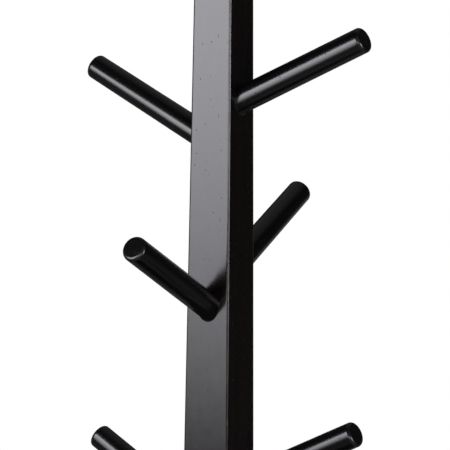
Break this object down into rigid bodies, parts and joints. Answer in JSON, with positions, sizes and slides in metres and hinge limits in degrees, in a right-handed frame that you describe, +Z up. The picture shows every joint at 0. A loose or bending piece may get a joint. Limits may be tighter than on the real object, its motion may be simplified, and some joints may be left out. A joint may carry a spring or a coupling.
{
  "type": "mug tree",
  "caption": "Free-standing rack for hanging mugs: tapered square wooden post on a square base, with slanted round pegs in staggered pairs.",
  "frame": {"origin": "on the table, under the middle of the base", "axes": "+Z up the post; +X towards the right-hand pegs, of which the top one is the highest peg; -Y towards the front peg of the middle tier"},
  "size_m": [0.16, 0.16, 0.38],
  "materials": {
    "black_wood": "black stained wood under satin varnish, fine dark pores",
    "plain_wood": "bare beech dowel, fluted",
    "zinc_steel": "zinc plated steel",
    "insert_brass": "plain turned brass",
    "pad_rubber": "matt black rubber"
  },
  "bodies": {
    "root": {"post": "black_wood", "base_plate": "black_wood", "peg_top_right": "black_wood", "peg_top_left": "black_wood", "peg_middle_back": "black_wood", "peg_middle_front": "black_wood", "peg_bottom_right": "black_wood", "peg_bottom_left": "black_wood", "base_bolt": "zinc_steel", "bolt_washer": "zinc_steel", "threaded_insert": "insert_brass", "locating_dowel_back": "plain_wood", "locating_dowel_front": "plain_wood", "foot_pad_front_left": "pad_rubber", "foot_pad_front_right": "pad_rubber", "foot_pad_back_left": "pad_rubber", "foot_pad_back_right": "pad_rubber"}
  },
  "joints": []
}
